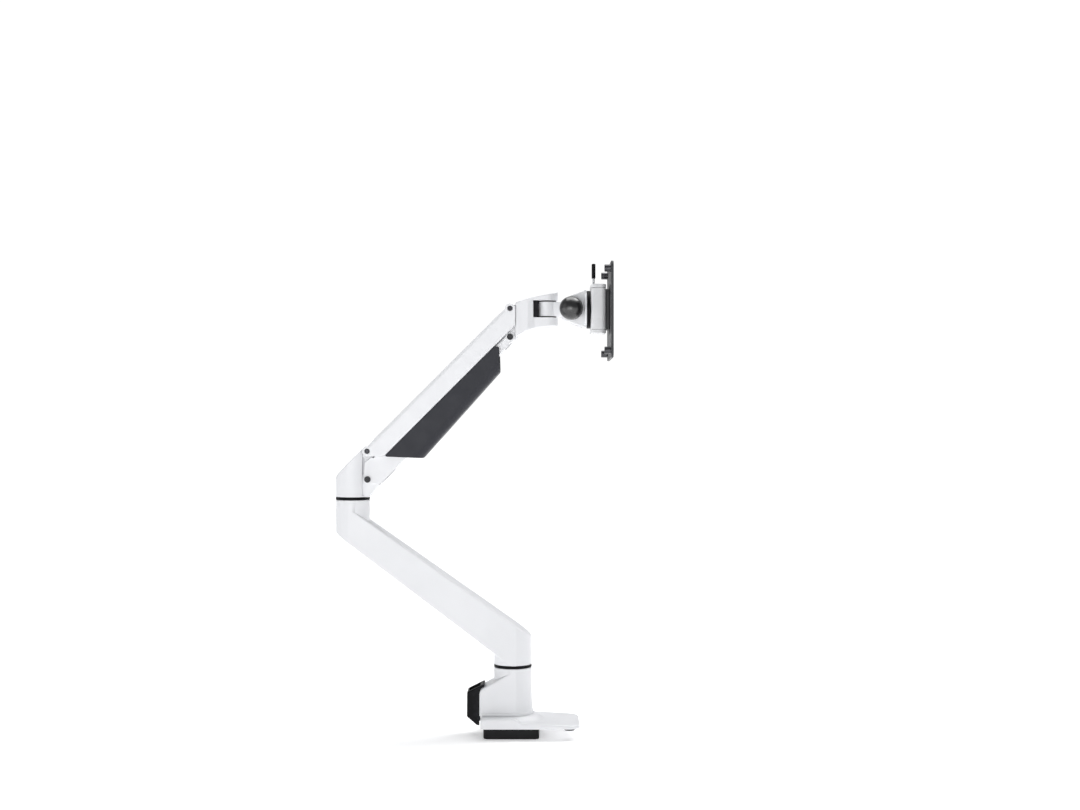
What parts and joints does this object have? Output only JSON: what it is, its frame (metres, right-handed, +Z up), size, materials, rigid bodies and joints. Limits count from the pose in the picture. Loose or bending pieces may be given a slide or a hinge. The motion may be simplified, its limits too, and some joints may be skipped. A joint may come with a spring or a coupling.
{
  "type": "monitor arm",
  "caption": "Desk-edge monitor arm: swivelling fixed lower arm, gas-sprung parallelogram upper arm, and a panning, tilting, rotating head with a quick-release screen plate.",
  "frame": {"origin": "base swivel axis, at the underside of the mounting block", "axes": "+Z up along the base swivel axis, +X towards the screen, +Y across the arm"},
  "size_m": [0.3445, 0.118, 0.5875],
  "materials": {
    "white_paint": "satin white powder coat",
    "white_plastic": "satin moulded white",
    "cover_plastic": "fine moulded texture",
    "black_plastic": "fine moulded texture",
    "block_paint": "black powder coat",
    "gloss_black": "polished",
    "black_cylinder": "semi-gloss black enamel",
    "charcoal_steel": "dark grey powder coat",
    "rubber": "plain",
    "steel": "turned",
    "dark_steel": "black oxide",
    "bronze": "sintered bearing bronze"
  },
  "bodies": {
    "base": {"foot_plate": "white_paint", "mounting_block": "block_paint", "block_screw_1": "dark_steel", "block_screw_2": "dark_steel", "front_pad_1": "rubber", "front_pad_2": "rubber", "base_housing": "white_paint", "base_spindle": "steel", "spindle_bolt": "dark_steel", "base_washer": "black_plastic", "rear_cable_cover": "black_plastic"},
    "lower_arm": {"lower_arm_beam": "white_paint", "hub_bush": "bronze", "elbow_bush": "bronze", "cable_clip_1": "black_plastic", "cable_clip_2": "black_plastic", "elbow_washer": "black_plastic"},
    "elbow": {"elbow_bracket": "white_paint", "elbow_post": "steel", "pivot_pin_a": "dark_steel", "pivot_pin_b": "dark_steel", "pivot_spacer_a_1": "black_plastic", "pivot_spacer_a_2": "black_plastic", "spring_base_pin": "steel"},
    "upper_arm": {"upper_arm_shell": "white_paint", "upper_cable_cover": "cover_plastic", "spring_top_pin": "steel"},
    "gas_spring": {"gas_spring_tube": "black_cylinder"},
    "gas_spring_rod": {"gas_spring_rod": "steel"},
    "lower_link": {"lower_link": "white_paint"},
    "head": {"head_bracket": "white_paint", "pivot_pin_c": "dark_steel", "pivot_pin_d": "dark_steel", "pivot_spacer_c_1": "black_plastic", "pivot_spacer_c_2": "black_plastic", "swivel_pin": "steel", "swivel_washer_lower": "black_plastic", "swivel_washer_upper": "black_plastic", "pan_bush": "black_plastic"},
    "pan_block": {"swivel_block": "white_paint"},
    "tilt": {"tilt_bracket": "white_paint", "tilt_bolt": "steel", "tilt_nut": "dark_steel", "rotation_bolt": "dark_steel", "rotation_washer": "black_plastic"},
    "tilt_knob": {"tilt_knob": "gloss_black"},
    "screen_mount": {"receiver_housing": "white_plastic", "receiver_cap_top": "white_plastic", "receiver_cap_bottom": "white_plastic", "plate_boss": "charcoal_steel", "vesa_plate": "charcoal_steel", "plate_screw_1": "dark_steel", "plate_screw_2": "dark_steel", "monitor_screw_1": "dark_steel", "monitor_screw_2": "dark_steel", "monitor_screw_3": "dark_steel", "monitor_screw_4": "dark_steel", "latch_spring": "steel"},
    "latch": {"latch_plunger": "steel", "latch_grip": "black_plastic"}
  },
  "joints": [
    {"name": "base_swivel", "type": "hinge", "parent": "base", "child": "lower_arm", "pos_m": [0, 0, 0.0863], "axis": [0, 0, 1], "range_deg": [-180, 180]},
    {"name": "elbow_swivel", "type": "hinge", "parent": "lower_arm", "child": "elbow", "pos_m": [-0.2, 0, 0.295], "axis": [0, 0, 1], "range_deg": [-180, 180]},
    {"name": "lift", "type": "hinge", "parent": "elbow", "child": "upper_arm", "pos_m": [-0.18, 0, 0.354], "axis": [0, 1, 0], "range_deg": [-8, 70]},
    {"name": "link_pivot", "type": "hinge", "parent": "elbow", "child": "lower_link", "pos_m": [-0.18, 0, 0.319], "axis": [0, 1, 0], "range_deg": [-8, 70]},
    {"name": "head_level", "type": "hinge", "parent": "upper_arm", "child": "head", "pos_m": [-0.00322, 0, 0.53078], "axis": [0, 1, 0], "range_deg": [-70, 8]},
    {"name": "spring_tilt", "type": "hinge", "parent": "upper_arm", "child": "gas_spring", "pos_m": [-0.03222, 0, 0.48906], "axis": [0, 1, 0], "range_deg": [-2, 1]},
    {"name": "spring_stroke", "type": "slide", "parent": "gas_spring", "child": "gas_spring_rod", "axis": [0.7017, 0, 0.7125], "range_m": [-0.003, 0.018]},
    {"name": "head_pan", "type": "hinge", "parent": "head", "child": "pan_block", "pos_m": [0.0427, 0, 0.531], "axis": [0, 0, 1], "range_deg": [-80, 80]},
    {"name": "head_tilt", "type": "hinge", "parent": "pan_block", "child": "tilt", "pos_m": [0.0726, 0, 0.5305], "axis": [0, 1, 0], "range_deg": [-45, 45]},
    {"name": "knob_turn", "type": "hinge", "parent": "tilt", "child": "tilt_knob", "pos_m": [0.0726, 0, 0.5305], "axis": [0, 1, 0], "continuous": true},
    {"name": "screen_rotation", "type": "hinge", "parent": "tilt", "child": "screen_mount", "pos_m": [0.094, 0, 0.5305], "axis": [1, 0, 0], "range_deg": [-90, 90]},
    {"name": "latch_pull", "type": "slide", "parent": "screen_mount", "child": "latch", "axis": [0, 0, 1], "range_m": [0, 0.005], "stiffness_N_per_m": 400, "springref_m": -0.002, "deforming": ["latch_spring"]}
  ],
  "couplings": [
    {"joint": "link_pivot", "follows": "lift", "ratio": 1},
    {"joint": "head_level", "follows": "lift", "ratio": -1},
    {"joint": "spring_tilt", "follows": "lift", "ratio": -0.0205},
    {"joint": "spring_stroke", "follows": "lift", "m_per_rad": 0.0135}
  ]
}
